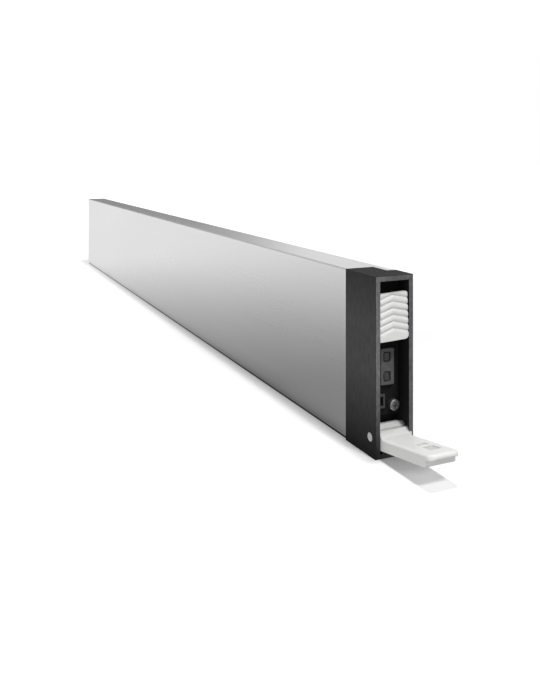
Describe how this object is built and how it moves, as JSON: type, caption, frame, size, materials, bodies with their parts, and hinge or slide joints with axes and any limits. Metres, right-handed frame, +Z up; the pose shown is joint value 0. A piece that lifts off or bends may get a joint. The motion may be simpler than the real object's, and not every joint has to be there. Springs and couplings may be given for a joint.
{
  "type": "ruler ssd module",
  "caption": "Long slim solid-state drive module: metal case, black front bezel, hinged white latch lever and ribbed release slide, card edge at the rear.",
  "frame": {"origin": "middle of the lower long edge, halfway between the rear wall and the bezel's front face", "axes": "+X along the module to the latch end, +Y from the plain cover to the screwed side, +Z up its height"},
  "size_m": [0.3358, 0.0094, 0.0384],
  "materials": {
    "case_metal": "satin brushed",
    "bezel_plastic": "fine grain",
    "white_plastic": "satin",
    "steel": "polished",
    "grey_plastic": "matt",
    "clear_plastic": "clear",
    "board_green": "solder mask",
    "gold_plate": "plated",
    "package_black": "moulded",
    "chip_lid": "satin",
    "ferrite_grey": "matt",
    "capacitor_amber": "moulded",
    "heat_pad": "soft",
    "indicator": "clear"
  },
  "bodies": {
    "module": {"case_tray": "case_metal", "side_cover": "case_metal", "cover_standoffs": "steel", "case_screws": "steel", "front_bezel": "bezel_plastic", "bezel_screw": "steel", "hinge_pin": "steel", "lever_spring": "steel", "light_pipe_holder": "grey_plastic", "lower_light_pipe": "clear_plastic", "upper_light_pipe": "clear_plastic", "circuit_board": "board_green", "edge_contacts": "gold_plate", "flash_near": "package_black", "flash_far": "package_black", "controller": "chip_lid", "memory_chips": "package_black", "power_chips": "package_black", "power_coils": "ferrite_grey", "hold_up_capacitors": "capacitor_amber", "status_lights": "indicator", "heat_pads_near": "heat_pad", "heat_pads_far": "heat_pad", "controller_pad": "heat_pad", "service_socket": "grey_plastic"},
    "lever": {"latch_lever": "white_plastic"},
    "slide": {"release_slider": "white_plastic"}
  },
  "joints": [
    {"name": "lever_pivot", "type": "hinge", "parent": "module", "child": "lever", "pos_m": [0.15425, 0, 0.0041], "axis": [0, -1, 0], "range_deg": [0, 81.5], "stiffness_Nm_per_rad": 0.002, "springref_deg": -22.92, "deforming": ["lever_spring"]},
    {"name": "release_slide", "type": "slide", "parent": "module", "child": "slide", "axis": [0, 0, 1], "range_m": [-0.0016, 0]}
  ]
}
